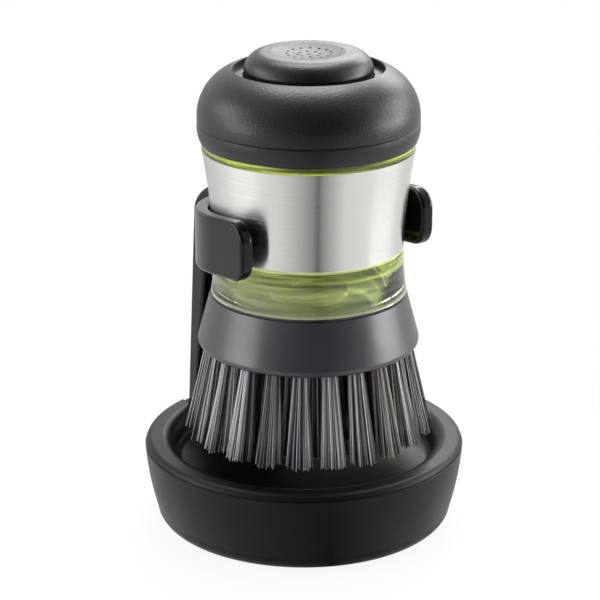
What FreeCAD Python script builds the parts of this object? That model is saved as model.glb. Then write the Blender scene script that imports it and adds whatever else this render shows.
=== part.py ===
# Palm dish brush with a soap tank, standing in its holder: drip dish, post and open clip.
# Millimetres. The origin is the middle of the dish at the worktop, +Z is up and -Y is the open front of
# the clip. The brush stands upright a little in front of the dish's middle.
import FreeCAD, Part
import math
import os
import Sketcher

doc = FreeCAD.newDocument("dish_brush_stand")

# Driving dimensions: name, value, what it measures
DIMENSIONS = [
    ("dish_radius", 52.0, "widest radius of the dish"),
    ("dish_lower_radius", 48.3, "radius of the dish where its rounded lower edge begins"),
    ("dish_edge_width", 4.5, "width of the rounded lower edge"),
    ("dish_height", 26.0, "seam between base shell and drip tray"),
    ("dish_edge_height", 4.4, "height of the rounded lower edge"),
    ("dish_belly", 0.6, "how far the side bulges past a straight cone"),
    ("shell_wall", 2.4, "side wall of the base shell"),
    ("shell_floor", 2.6, "floor of the base shell"),
    ("seam_bevel", 0.25, "bevel on each side of a visible seam"),
    ("foot_proud", 0.6, "how far the rubber feet lift the dish"),
    ("foot_radius", 5.0, "radius of a rubber foot"),
    ("foot_inset", 7.8, "middle of a foot from the edge of the flat underside"),
    ("foot_recess", 1.4, "depth of a foot's recess"),
    ("foot_count", 4, "number of rubber feet"),
    ("tray_rim", 2.0, "thickness of the tray's rim above the seam"),
    ("tray_rim_width", 5.6, "width of the tray's rim to where it rolls down"),
    ("tray_roll", 4.2, "width of the rim's roll down to the inner wall"),
    ("tray_foot", 2.6, "rounding between the tray's wall and floor"),
    ("tray_depth", 7.5, "depth of the tray below its rim"),
    ("tray_wall", 1.8, "wall of the tray"),
    ("tray_skirt", 3.0, "depth of the skirt that locates the tray in the shell"),
    ("fit_clearance", 0.25, "gap between pieces that plug together"),
    ("post_width", 36.4, "width of the post"),
    ("post_thickness", 5.0, "thickness of the post"),
    ("post_inset", 12.7, "front of the post inside the rim of the dish"),
    ("post_cover", 4.8, "post behind the clip's band, at the top"),
    ("post_height", 105.0, "top of the post"),
    ("post_corner", 7.0, "rounding of the post's top corners"),
    ("bracket_rounding", 1.2, "rounding of the bracket's edges"),
    ("notch_gap", 0.4, "gap between the post and the tray"),
    ("foot_reach", 9.0, "reach of the post's foot under the tray"),
    ("screw_spread", 18.0, "distance between the bracket's screws"),
    ("screw_radius", 1.5, "radius of a screw's shank"),
    ("screw_head_radius", 3.0, "radius of a screw's head"),
    ("screw_head_height", 1.2, "height of a screw's head"),
    ("screw_fit", 0.05, "gap round a screw's shank"),
    ("post_clearance", 1.6, "gap between the bristle tips and the post"),
    ("clip_thickness", 4.4, "thickness of the clip's band"),
    ("clip_band", 19.0, "height of the clip's band"),
    ("clip_height", 99.3, "middle of the band at the brush axis"),
    ("clip_slope", 0.12, "rise of the band towards the front, per millimetre"),
    ("clip_reach", 18.0, "reach of the arms past the brush axis"),
    ("tip_corner", 6.5, "rounding of the corners at the arms' ends"),
    ("clip_clearance", 0.2, "gap between the clip and the widest place of the brush in it"),
    ("bristle_gap", 3.9, "bristle tips above the tray's rim"),
    ("bristle_length", 30.0, "height of the bristles"),
    ("plate_recess", 0.6, "how deep the tuft plate lies in the head"),
    ("plate_thickness", 3.4, "thickness of the tuft plate"),
    ("plate_radius", 33.8, "radius of the tuft plate"),
    ("tuft_root_radius", 2.4, "radius of a tuft at the plate"),
    ("tuft_turn", 3.6, "turn of the outer tufts from the X axis, in degrees"),
    ("outer_root_circle", 30.7, "circle of the outer tufts at the plate"),
    ("outer_tip_circle", 35.8, "circle of the outer tufts at their tips"),
    ("outer_tip_radius", 4.5, "radius of an outer tuft at its tip"),
    ("outer_tuft_count", 22, "number of outer tufts"),
    ("middle_root_circle", 23.0, "circle of the middle tufts at the plate"),
    ("middle_tip_circle", 26.9, "circle of the middle tufts at their tips"),
    ("middle_tip_radius", 3.5, "radius of a middle tuft at its tip"),
    ("middle_tuft_count", 22, "number of middle tufts"),
    ("inner_root_circle", 15.6, "circle of the inner tufts at the plate"),
    ("inner_tip_circle", 18.6, "circle of the inner tufts at their tips"),
    ("inner_tip_radius", 3.6, "radius of an inner tuft at its tip"),
    ("inner_tuft_count", 14, "number of inner tufts"),
    ("head_radius", 35.5, "widest radius of the brush head"),
    ("head_top_radius", 31.5, "radius of the head at its top"),
    ("head_height", 17.0, "height of the head"),
    ("head_land", 2.0, "height of the head's widest place above its lower edge"),
    ("head_edge", 1.4, "rounding of the head's lower edge"),
    ("channel_radius", 5.0, "radius of the soap channel through the head"),
    ("cup_depth", 5.9, "depth of the cup in the head that takes the tank"),
    ("head_gap", 0.2, "gap between head and tank that shows"),
    ("seal_thickness", 0.8, "thickness of the ring between tank and head"),
    ("seal_inner", 20.0, "inner radius of that ring"),
    ("seal_outer", 24.0, "outer radius of that ring"),
    ("spigot_radius", 28.6, "radius of the tank's lower plug"),
    ("tank_wall", 2.4, "wall of the tank"),
    ("tank_floor", 2.6, "floor of the tank"),
    ("tank_floor_radius", 23.4, "radius of the tank's flat floor"),
    ("tank_lower_radius", 31.4, "radius of the tank just above the head"),
    ("tank_lower_middle", 30.5, "radius of the tank halfway up its clear band"),
    ("waist_radius", 30.25, "radius at the lower edge of the steel sleeve"),
    ("window_height", 15.7, "height of the tank's clear band"),
    ("sleeve_height", 31.8, "height of the steel sleeve"),
    ("sleeve_middle_radius", 31.4, "radius halfway up the sleeve"),
    ("sleeve_top_radius", 33.7, "radius at the top of the sleeve"),
    ("sleeve_thickness", 0.7, "thickness of the steel"),
    ("sleeve_fit", 0.05, "gap behind the steel"),
    ("flange_height", 2.2, "height of the clear flange above the sleeve"),
    ("neck_radius", 26.6, "radius of the tank's neck"),
    ("neck_bore", 24.2, "bore of the neck"),
    ("neck_height", 7.8, "height of the neck above the flange"),
    ("neck_slope", 5.0, "height of the slope from the tank's wall to the neck"),
    ("outlet_radius", 4.2, "radius of the hole in the tank's floor"),
    ("valve_radius", 9.0, "radius of the soap valve's rim"),
    ("valve_rim", 0.8, "thickness of the soap valve's rim"),
    ("valve_snout", 6.0, "length of the soap valve below the tank's floor"),
    ("valve_snout_radius", 3.6, "radius of the soap valve's snout"),
    ("retainer_radius", 13.2, "outer radius of the ring that holds the soap valve"),
    ("retainer_bore", 6.0, "bore of that ring"),
    ("retainer_height", 2.0, "height of that ring"),
    ("cap_gap", 0.3, "gap between tank and cap that shows"),
    ("cap_radius", 35.0, "widest radius of the cap"),
    ("collar_lower_radius", 34.1, "radius of the cap at its lower edge"),
    ("collar_height", 5.8, "height of the collar"),
    ("collar_wall", 2.2, "wall of the collar"),
    ("thread_gap", 0.9, "room for the thread between neck and collar"),
    ("thread_height", 0.6, "how far the thread stands out of the neck"),
    ("thread_width", 2.0, "width of the thread at its root"),
    ("thread_lead", 8.0, "rise of the thread in a turn"),
    ("thread_turns", 0.55, "length of a thread in turns"),
    ("thread_starts", 2, "number of threads"),
    ("thread_start", 1.0, "lowest place of the thread above the flange"),
    ("dome_height", 16.9, "height of the dome above the seam"),
    ("dome_spring", 1.7, "height above the seam where the dome begins to round"),
    ("dome_shoulder_radius", 30.4, "radius of the dome at its shoulder"),
    ("dome_shoulder_drop", 3.9, "shoulder below the top of the dome"),
    ("dome_wall", 2.4, "wall of the dome"),
    ("opening_radius", 24.0, "radius of the opening in the dome"),
    ("opening_depth", 2.2, "depth of the recess round the button"),
    ("ledge_thickness", 1.6, "thickness of the ledge round the button"),
    ("rib_inner", 23.4, "inner radius of the rib that presses on the pump"),
    ("rib_outer", 25.6, "outer radius of that rib"),
    ("gasket_thickness", 1.2, "thickness of the ring on the neck"),
    ("pump_flange", 1.6, "thickness of the pump cylinder's flange"),
    ("pump_bore", 16.0, "bore of the pump cylinder"),
    ("pump_wall", 1.8, "wall of the pump cylinder"),
    ("pump_depth", 19.8, "depth of the pump cylinder"),
    ("air_valve_radius", 6.5, "radius of the air valve's umbrella"),
    ("air_valve_stem", 1.5, "radius of the air valve's stem"),
    ("air_valve_rim", 1.0, "thickness of the air valve's umbrella"),
    ("air_hole_radius", 0.9, "radius of an air hole"),
    ("air_hole_circle", 4.2, "circle of the air holes"),
    ("air_hole_count", 6, "number of air holes"),
    ("button_radius", 20.2, "radius of the button"),
    ("button_gap", 0.4, "gap round the button"),
    ("button_rise", 5.1, "button above the dome"),
    ("button_top_radius", 14.0, "radius of the button's top face"),
    ("button_dish_radius", 11.5, "radius of the hollow in the button's top"),
    ("button_dish_depth", 0.9, "depth of that hollow"),
    ("button_wall", 2.0, "wall of the button"),
    ("button_flange", 1.8, "width of the flange that keeps the button in"),
    ("button_stop_gap", 0.3, "gap between flange and ledge"),
    ("dimple_radius", 0.5, "radius of a dimple"),
    ("dimple_depth", 1.2, "depth of a dimple below the hollow"),
    ("dimple_inner_circle", 3.5, "circle of the inner dimples"),
    ("dimple_inner_count", 8, "number of inner dimples"),
    ("dimple_inner_turn", 19.4, "turn of an inner dimple from the X axis, in degrees"),
    ("dimple_outer_circle", 7.0, "circle of the outer dimples"),
    ("dimple_outer_count", 15, "number of outer dimples"),
    ("dimple_outer_turn", 5.2, "turn of an outer dimple from the X axis, in degrees"),
    ("piston_clearance", 0.4, "gap between piston and bore"),
    ("piston_height", 5.0, "height of the piston"),
    ("piston_stem", 5.0, "radius of the piston's stem"),
    ("piston_rest", 12.0, "piston above the cylinder's floor at rest"),
    ("ring_width", 1.8, "width of the piston ring's groove"),
    ("ring_depth", 0.9, "depth of the piston ring's groove"),
    ("ring_running", 0.08, "running gap between piston ring and bore"),
    ("spring_radius", 12.5, "mean radius of the return spring"),
    ("spring_wire", 1.6, "wire of the return spring"),
]

sheet = doc.addObject("Spreadsheet::Sheet", "Sizes")
for row, (name, value, meaning) in enumerate(DIMENSIONS, start=1):
    sheet.set(f"A{row}", meaning)
    sheet.set(f"B{row}", str(value))
    sheet.setAlias(f"B{row}", name)
doc.recompute()


class Size:
    """A size from the sheet, or one worked out from several: its value and its formula."""

    def __init__(self, value, formula):
        self.value = value
        self.formula = formula

    def __add__(self, other):
        other = as_size(other)
        return Size(self.value + other.value, f"({self.formula} + {other.formula})")

    def __sub__(self, other):
        other = as_size(other)
        return Size(self.value - other.value, f"({self.formula} - {other.formula})")

    def __mul__(self, other):
        other = as_size(other)
        return Size(self.value * other.value, f"({self.formula} * {other.formula})")

    def __truediv__(self, other):
        other = as_size(other)
        return Size(self.value / other.value, f"({self.formula} / {other.formula})")

    def __neg__(self):
        return Size(-self.value, f"(0 - {self.formula})")


def as_size(number):
    return number if isinstance(number, Size) else Size(float(number), str(float(number)))


def smaller(one, other):
    return Size(min(one.value, other.value), f"min({one.formula}; {other.formula})")


def root(one):
    return Size(math.sqrt(one.value), f"sqrt({one.formula})")


def on_circle(radius, turn):
    """A place on a circle about the origin, at a turn in degrees from the first axis."""
    angle = math.radians(turn.value)
    across = Size(radius.value * math.cos(angle), f"({radius.formula} * cos({turn.formula}))")
    up = Size(radius.value * math.sin(angle), f"({radius.formula} * sin({turn.formula}))")
    return across, up


class SheetSizes:
    """The sheet's cells by name, each as a Size."""

    def __getattr__(self, name):
        return Size(float(sheet.get(name)), f"Sizes.{name}")


size = SheetSizes()
ZERO = as_size(0.0)


class Via:
    """A point that an outline passes through on a round stretch between two corners."""

    def __init__(self, across, up):
        self.across = across
        self.up = up


# Levels, from the worktop upwards
shell_bottom = size.foot_proud
shell_floor_top = shell_bottom + size.shell_floor
seam = size.dish_height
rim_top = seam + size.tray_rim
tray_floor_top = rim_top - size.tray_depth
bristle_tips = rim_top + size.bristle_gap
bristle_roots = bristle_tips + size.bristle_length
plate_top = bristle_roots + size.plate_thickness
head_bottom = bristle_roots - size.plate_recess
head_top = head_bottom + size.head_height
cup_floor = head_top - size.cup_depth
tank_bottom = cup_floor + size.seal_thickness
tank_floor_top = tank_bottom + size.tank_floor
tank_shoulder = head_top + size.head_gap
sleeve_bottom = tank_shoulder + size.window_height
sleeve_top = sleeve_bottom + size.sleeve_height
flange_top = sleeve_top + size.flange_height
neck_top = flange_top + size.neck_height
collar_bottom = flange_top + size.cap_gap
collar_top = collar_bottom + size.collar_height
dome_top = collar_top + size.dome_height
ledge_top = dome_top - size.opening_depth
ledge_bottom = ledge_top - size.ledge_thickness
pump_flange_bottom = neck_top + size.gasket_thickness
pump_flange_top = pump_flange_bottom + size.pump_flange
pump_floor_top = pump_flange_top - size.pump_depth
pump_floor_bottom = pump_floor_top - size.pump_wall
button_top = dome_top + size.button_rise
button_flange_top = ledge_bottom - size.button_stop_gap
button_flange_bottom = button_flange_top - size.ledge_thickness
button_ceiling = button_top - size.button_dish_depth - size.button_wall
piston_bottom = pump_floor_top + size.piston_rest
piston_top = piston_bottom + size.piston_height

# Radii and places that fit one another
dish_foot_radius = size.dish_lower_radius - size.dish_edge_width
foot_circle = dish_foot_radius - size.foot_inset
lower_edge_top = shell_bottom + size.dish_edge_height
shell_inner = size.dish_radius - size.shell_wall
shell_inner_lower = size.dish_lower_radius - size.shell_wall
skirt_share = size.tray_skirt / (seam - lower_edge_top)
shell_at_skirt = shell_inner - (shell_inner - shell_inner_lower) * skirt_share
tray_skirt_outer = smaller(shell_inner, shell_at_skirt) - size.fit_clearance
tray_rim_inner = size.dish_radius - size.tray_rim_width
tray_wall_radius = tray_rim_inner - size.tray_roll
tray_floor_radius = tray_wall_radius - size.tray_foot
post_front = size.dish_radius - size.post_inset
brush_offset = post_front - size.post_clearance - size.outer_tip_circle - size.outer_tip_radius
collar_bore = size.neck_radius + size.thread_gap
piston_radius = size.pump_bore - size.piston_clearance
button_bore = size.button_radius + size.button_gap

pieces = []


def origin_feature(body, role):
    return next(feature for feature in body.Origin.OriginFeatures if feature.Role == role)


def attach(sketch, body, role):
    """Lay a sketch on one of its own body's origin planes."""
    sketch.AttachmentSupport = [(origin_feature(body, role), "")]
    sketch.MapMode = "FlatFace"


def bind(sketch, kind, geometry, position, value):
    """Hold one point of a sketch at a size from the sketch's origin."""
    index = sketch.addConstraint(Sketcher.Constraint(kind, -1, 1, geometry, position, value.value))
    sketch.setExpression(f"Constraints[{index}]", value.formula)


def hold(sketch, geometry, position, across, up):
    bind(sketch, "DistanceX", geometry, position, across)
    bind(sketch, "DistanceY", geometry, position, up)


def vector(point):
    return FreeCAD.Vector(point[0].value, point[1].value, 0)


def draw(sketch, outline):
    """Draw a closed outline of corners, straight from one to the next or round through a Via."""
    stretches = []
    corners = []
    for entry in outline:
        if isinstance(entry, Via):
            stretches[-1] = entry
        else:
            corners.append((as_size(entry[0]), as_size(entry[1])))
            stretches.append(None)
    ends = []
    for number, (corner, via) in enumerate(zip(corners, stretches)):
        following = corners[(number + 1) % len(corners)]
        if via is None:
            geometry = sketch.addGeometry(Part.LineSegment(vector(corner), vector(following)), False)
        else:
            middle = (as_size(via.across), as_size(via.up))
            arc = Part.Arc(vector(corner), vector(middle), vector(following))
            geometry = sketch.addGeometry(arc, False)
            point = sketch.addGeometry(Part.Point(vector(middle)), True)
            hold(sketch, point, 1, *middle)
            sketch.addConstraint(Sketcher.Constraint("PointOnObject", point, 1, geometry))
        forward = sketch.getPoint(geometry, 1).distanceToPoint(vector(corner)) < 1e-6
        ends.append((geometry, 1, 2) if forward else (geometry, 2, 1))
    for number, (geometry, start, finish) in enumerate(ends):
        hold(sketch, geometry, start, *corners[number])
        after, after_start, after_finish = ends[(number + 1) % len(ends)]
        sketch.addConstraint(Sketcher.Constraint("Coincident", geometry, finish, after, after_start))


def draw_circle(sketch, across, up, radius):
    circle = Part.Circle(vector((across, up)), FreeCAD.Vector(0, 0, 1), radius.value)
    geometry = sketch.addGeometry(circle, False)
    hold(sketch, geometry, 3, across, up)
    index = sketch.addConstraint(Sketcher.Constraint("Radius", geometry, radius.value))
    sketch.setExpression(f"Constraints[{index}]", radius.formula)


def new_body(label):
    body = doc.addObject("PartDesign::Body", label)
    pieces.append(body)
    return body


def new_sketch(body, name, plane):
    sketch = body.newObject("Sketcher::SketchObject", f"{body.Label}_{name}")
    attach(sketch, body, plane)
    return sketch


def revolve(body, name, outline, kind="Revolution"):
    """Turn an outline of (radius, height) about the body's upright axis, to add it or to cut it away."""
    sketch = new_sketch(body, f"{name}_outline", "XZ_Plane")
    draw(sketch, outline)
    feature = body.newObject(f"PartDesign::{kind}", f"{body.Label}_{name}")
    feature.Profile = sketch
    feature.ReferenceAxis = (sketch, ["V_Axis"])
    feature.Angle = 360
    body.Tip = feature
    return feature


def turned(label, outline, on_brush=True):
    """A piece turned about the brush's axis, or about the middle of the dish."""
    body = new_body(label)
    revolve(body, "turned", outline)
    if on_brush:
        body.setExpression("Placement.Base.y", brush_offset.formula)
    return body


def side_pad(body, name, outline, width):
    """A plate of the given width across X, from an outline of (Y, height)."""
    sketch = new_sketch(body, f"{name}_outline", "YZ_Plane")
    draw(sketch, outline)
    feature = body.newObject("PartDesign::Pad", f"{body.Label}_{name}")
    feature.Profile = sketch
    feature.SideType = "Symmetric"
    feature.setExpression("Length", width.formula)
    body.Tip = feature
    return feature


def cut_through(body, name, sketch):
    """Cut a sketch on the ground plane through the whole body."""
    feature = body.newObject("PartDesign::Pocket", f"{body.Label}_{name}")
    feature.Profile = sketch
    feature.SideType = "Symmetric"
    feature.Type = "ThroughAll"
    body.Tip = feature
    return feature


def cut_up_to(body, name, sketch, height):
    """Cut a sketch on the ground plane upwards to a height."""
    feature = body.newObject("PartDesign::Pocket", f"{body.Label}_{name}")
    feature.Profile = sketch
    feature.Reversed = True
    feature.setExpression("Length", height.formula)
    body.Tip = feature
    return feature


def cut_above(body, name, sketch):
    """Cut away what lies above a sketch."""
    feature = body.newObject("PartDesign::Pocket", f"{body.Label}_{name}")
    feature.Profile = sketch
    feature.Reversed = True
    feature.Type = "ThroughAll"
    body.Tip = feature
    return feature


def polar(body, name, original, count):
    """Repeat a feature round the body's upright axis."""
    pattern = body.newObject("PartDesign::PolarPattern", f"{body.Label}_{name}")
    pattern.Originals = [original]
    pattern.Axis = (origin_feature(body, "Z_Axis"), [""])
    pattern.Angle = 360
    pattern.setExpression("Occurrences", count.formula)
    body.Tip = pattern
    return pattern


def round_edges(body, name, radius, chosen):
    """Round the edges of the finished body that the test picks out."""
    doc.recompute()
    base = body.Tip
    names = [f"Edge{number}" for number, edge in enumerate(base.Shape.Edges, start=1) if chosen(edge)]
    feature = body.newObject("PartDesign::Fillet", f"{body.Label}_{name}")
    feature.Base = (base, names)
    feature.setExpression("Radius", radius.formula)
    body.Tip = feature
    return feature


# Base shell: a shallow bowl with a rounded lower edge, recessed below for feet and screws
side_top = seam - size.seam_bevel
corner_inset = 0.3
base_shell = turned("base_shell", [
    (0, shell_bottom),
    (dish_foot_radius, shell_bottom),
    Via(
        size.dish_lower_radius - (size.dish_lower_radius - dish_foot_radius) * corner_inset,
        shell_bottom + size.dish_edge_height * corner_inset,
    ),
    (size.dish_lower_radius, lower_edge_top),
    Via(
        (size.dish_lower_radius + size.dish_radius) / 2 + size.dish_belly,
        (lower_edge_top + side_top) / 2,
    ),
    (size.dish_radius, side_top),
    (size.dish_radius - size.seam_bevel, seam),
    (shell_inner, seam),
    (shell_inner_lower, lower_edge_top),
    (dish_foot_radius, shell_floor_top),
    (0, shell_floor_top),
], on_brush=False)
recess_sketch = new_sketch(base_shell, "foot_recess_outline", "XY_Plane")
draw_circle(recess_sketch, foot_circle * math.sqrt(0.5), foot_circle * math.sqrt(0.5),
            size.foot_radius + size.screw_fit)
recess = cut_up_to(base_shell, "foot_recess", recess_sketch, shell_bottom + size.foot_recess)
polar(base_shell, "foot_recesses", recess, size.foot_count)
screw_row = post_front - size.foot_reach / 2
screw_places = [-size.screw_spread / 2, size.screw_spread / 2]
screw_seat = shell_bottom + size.screw_head_height
head_sketch = new_sketch(base_shell, "screw_head_outline", "XY_Plane")
hole_sketch = new_sketch(base_shell, "screw_hole_outline", "XY_Plane")
for place in screw_places:
    draw_circle(head_sketch, place, screw_row, size.screw_head_radius + size.fit_clearance)
    draw_circle(hole_sketch, place, screw_row, size.screw_radius + size.screw_fit)
cut_up_to(base_shell, "screw_heads", head_sketch, screw_seat)
cut_through(base_shell, "screw_holes", hole_sketch)

# Rubber feet, pressed into the recesses under the shell
foot_count = int(size.foot_count.value)
for number in range(foot_count):
    foot = doc.addObject("Part::Cylinder", f"foot_pad_{number + 1}")
    foot.setExpression("Radius", size.foot_radius.formula)
    foot.setExpression("Height", (shell_bottom + size.foot_recess).formula)
    turn = 45 + 360 * number / foot_count
    foot.setExpression("Placement.Base.x", f"{foot_circle.formula} * cos({turn})")
    foot.setExpression("Placement.Base.y", f"{foot_circle.formula} * sin({turn})")
    pieces.append(foot)

# Drip tray: a rolled rim that lies on the shell, a skirt inside it and a low floor
floor_under = tray_floor_top - size.tray_wall
rim_under = rim_top - size.tray_wall
drip_tray = turned("drip_tray", [
    (0, tray_floor_top),
    (tray_floor_radius, tray_floor_top),
    Via(tray_wall_radius - size.tray_foot * corner_inset, tray_floor_top + size.tray_foot * corner_inset),
    (tray_wall_radius, tray_floor_top + size.tray_foot),
    Via(
        tray_wall_radius + (tray_rim_inner - tray_wall_radius) * corner_inset,
        rim_top - (size.tray_depth - size.tray_foot) * corner_inset,
    ),
    (tray_rim_inner, rim_top),
    (size.dish_radius - size.tray_rim, rim_top),
    Via(
        size.dish_radius - size.seam_bevel - size.tray_rim * corner_inset,
        rim_top - size.tray_rim * corner_inset,
    ),
    (size.dish_radius - size.seam_bevel, seam + size.seam_bevel),
    (size.dish_radius - size.seam_bevel * 2, seam),
    (tray_skirt_outer, seam),
    (tray_skirt_outer, seam - size.tray_skirt),
    (tray_skirt_outer - size.tray_wall, seam - size.tray_skirt),
    (tray_skirt_outer - size.tray_wall, rim_under),
    (tray_rim_inner, rim_under),
    (tray_wall_radius + size.tray_wall, tray_floor_top + size.tray_foot),
    (tray_floor_radius + size.tray_wall / 2, floor_under),
    (0, floor_under),
], on_brush=False)
notch_half = size.post_width / 2 + size.notch_gap
notch_back = size.dish_radius + size.post_inset
notch_front = post_front - size.notch_gap
notch_sketch = new_sketch(drip_tray, "notch_outline", "XY_Plane")
draw(notch_sketch, [
    (-notch_half, notch_front),
    (notch_half, notch_front),
    (notch_half, notch_back),
    (-notch_half, notch_back),
])
cut_through(drip_tray, "notch", notch_sketch)
side_pad(drip_tray, "notch_wall", [
    (notch_front - size.tray_wall, floor_under),
    (notch_front, floor_under),
    (notch_front, rim_under),
    (notch_front - size.tray_wall, rim_under),
], (notch_half + size.tray_wall) * 2)

# Holder bracket: a U-shaped clip whose arms rise to the front, a leaning post and a foot under the tray
bracket = new_body("holder_bracket")
brush_outline = [
    (size.head_radius, head_bottom),
    (size.head_radius, head_bottom + size.head_land),
    (size.head_top_radius, head_top),
    (size.tank_lower_radius, tank_shoulder),
    (size.waist_radius, sleeve_bottom),
    (size.sleeve_middle_radius, (sleeve_bottom + sleeve_top) / 2),
    (size.sleeve_top_radius, sleeve_top),
    (size.sleeve_top_radius, flange_top),
    (size.cap_radius, collar_bottom),
    (size.cap_radius, dome_top),
]


def widest_between(low, high):
    """Largest radius of the brush between two heights, taken straight from corner to corner."""
    found = []
    for (radius, level), (next_radius, next_level) in zip(brush_outline, brush_outline[1:]):
        if low.value <= level.value <= high.value:
            found.append(radius)
        for height in (low, high):
            if level.value <= height.value <= next_level.value:
                share = (height - level) / (next_level - level)
                found.append(radius + (next_radius - radius) * share)
    return max(found, key=lambda radius: radius.value)


def band_height(depth):
    """Middle of the clip's band at a depth along Y."""
    return size.clip_height + (brush_offset - depth) * size.clip_slope


half_band = size.clip_band / 2
slope_length = root(size.clip_slope * size.clip_slope + 1)
clip_front = brush_offset - size.clip_reach
tip_middle = clip_front + size.tip_corner
tip_low = band_height(tip_middle) - half_band + size.tip_corner * slope_length
tip_high = band_height(tip_middle) + half_band - size.tip_corner * slope_length
tip_rise = size.tip_corner / slope_length
tip_shift = tip_rise * size.clip_slope
tip_bow = size.tip_corner * math.sqrt(0.5)
band_reach = size.cap_radius + size.clip_thickness
band_low = band_height(brush_offset + band_reach) - half_band
band_high = tip_high + size.tip_corner
clip_inner = widest_between(band_low, band_high) + size.clip_clearance
clip_radius = clip_inner + size.clip_thickness
clip_back = brush_offset + clip_radius
band_end = clip_back + size.clip_thickness
side_pad(bracket, "clip_band", [
    (band_end, band_height(band_end) - half_band),
    (tip_middle - tip_shift, tip_low - tip_rise),
    Via(tip_middle - tip_bow, tip_low - tip_bow),
    (clip_front, tip_low),
    (clip_front, tip_high),
    Via(tip_middle - tip_bow, tip_high + tip_bow),
    (tip_middle + tip_shift, tip_high + tip_rise),
    (band_end, band_height(band_end) + half_band),
], clip_radius * 2)
spare = clip_radius + size.clip_thickness * 2
outside_sketch = new_sketch(bracket, "clip_outside_outline", "XY_Plane")
draw(outside_sketch, [
    (-clip_radius, brush_offset),
    Via(ZERO, clip_back),
    (clip_radius, brush_offset),
    (spare, brush_offset),
    (spare, brush_offset + spare),
    (-spare, brush_offset + spare),
    (-spare, brush_offset),
])
cut_through(bracket, "clip_outside", outside_sketch)
mouth_end = clip_front - size.clip_reach
inside_sketch = new_sketch(bracket, "clip_inside_outline", "XY_Plane")
draw(inside_sketch, [
    (-clip_inner, brush_offset),
    Via(ZERO, brush_offset + clip_inner),
    (clip_inner, brush_offset),
    (clip_inner, mouth_end),
    (-clip_inner, mouth_end),
])
cut_through(bracket, "clip_inside", inside_sketch)


def is_clip_rim(edge):
    """An edge along the clip's band, inside or outside, but not across it or up it."""
    steps = 6
    for step in range(steps + 1):
        share = step / steps
        point = edge.valueAt(edge.FirstParameter + (edge.LastParameter - edge.FirstParameter) * share)
        behind = max(point.y - brush_offset.value, 0.0)
        radius = math.hypot(point.x, behind)
        if min(abs(radius - clip_radius.value), abs(radius - clip_inner.value)) > 0.01:
            return False
    box = edge.BoundBox
    return max(box.XLength, box.YLength) > 0.01


round_edges(bracket, "clip_rims", size.bracket_rounding, is_clip_rim)
post_back = post_front + size.post_thickness
clip_seat = clip_back - size.clip_thickness / 2
foot_front = post_front - size.foot_reach
foot_top = floor_under - size.notch_gap
band_foot = band_height(clip_back) - half_band
side_pad(bracket, "post", [
    (foot_front, shell_floor_top),
    (size.dish_radius, shell_floor_top),
    (size.dish_radius, rim_top),
    (post_back, rim_top),
    (clip_back + size.post_cover, size.post_height),
    (clip_seat, size.post_height),
    (clip_seat, band_foot),
    (post_front, rim_top),
    (post_front, foot_top),
    (foot_front, foot_top),
], size.post_width)
foot_outer = shell_inner - size.fit_clearance
foot_lower = shell_inner_lower - size.fit_clearance
foot_inner = dish_foot_radius - size.fit_clearance
# The foot is trimmed to the shell's inside, by a ring that reaches far past the dish
trim_outer = size.dish_radius + size.post_height
revolve(bracket, "foot_trim", [
    (foot_inner, shell_floor_top),
    (foot_lower, lower_edge_top),
    (foot_outer, seam),
    (foot_outer, rim_top + size.tray_rim),
    (trim_outer, rim_top + size.tray_rim),
    (trim_outer, shell_bottom),
    (foot_inner, shell_bottom),
], kind="Groove")
bracket_hole_sketch = new_sketch(bracket, "screw_hole_outline", "XY_Plane")
for place in screw_places:
    draw_circle(bracket_hole_sketch, place, screw_row, size.screw_radius + size.screw_fit)
cut_up_to(bracket, "screw_holes", bracket_hole_sketch, foot_top - size.screw_radius)


def is_post_top_corner(edge):
    middle = edge.CenterOfMass
    at_side = abs(abs(middle.x) - size.post_width.value / 2) < 0.01
    return at_side and abs(middle.z - size.post_height.value) < 0.01


def is_post_side(edge):
    at_side = abs(abs(edge.CenterOfMass.x) - size.post_width.value / 2) < 0.01
    return at_side and edge.Length > size.post_height.value / 3


post_corner = smaller(size.post_corner, (size.post_height - band_foot) / 2)
round_edges(bracket, "post_corners", post_corner, is_post_top_corner)
round_edges(bracket, "post_sides", size.bracket_rounding, is_post_side)

# Screws from below through the shell into the bracket's foot
shank_top = foot_top - size.screw_radius * 2
for number, place in enumerate(screw_places, start=1):
    screw = turned(f"bracket_screw_{number}", [
        (0, shell_bottom + size.screw_fit),
        (size.screw_head_radius, shell_bottom + size.screw_fit),
        (size.screw_head_radius, screw_seat),
        (size.screw_radius, screw_seat),
        (size.screw_radius, shank_top - size.screw_radius),
        (0, shank_top),
    ], on_brush=False)
    screw.setExpression("Placement.Base.x", place.formula)
    screw.setExpression("Placement.Base.y", screw_row.formula)

# Brush head: a cone with a cup on top for the tank and a recess below for the tuft plate
plate_seat = size.plate_radius + size.fit_clearance
cup_radius = size.spigot_radius + size.fit_clearance
turned("brush_head", [
    (size.channel_radius, plate_top),
    (plate_seat, plate_top),
    (plate_seat, head_bottom),
    (size.head_radius - size.head_edge, head_bottom),
    Via(
        size.head_radius - size.head_edge * corner_inset,
        head_bottom + size.head_edge * corner_inset,
    ),
    (size.head_radius, head_bottom + size.head_edge),
    (size.head_radius, head_bottom + size.head_land),
    (size.head_top_radius, head_top),
    (cup_radius, head_top),
    (cup_radius, cup_floor),
    (size.channel_radius, cup_floor),
])

# Tuft plate: the disc that the tufts are stapled into
turned("tuft_plate", [
    (size.channel_radius, bristle_roots),
    (size.plate_radius, bristle_roots),
    (size.plate_radius, plate_top),
    (size.channel_radius, plate_top),
])


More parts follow.
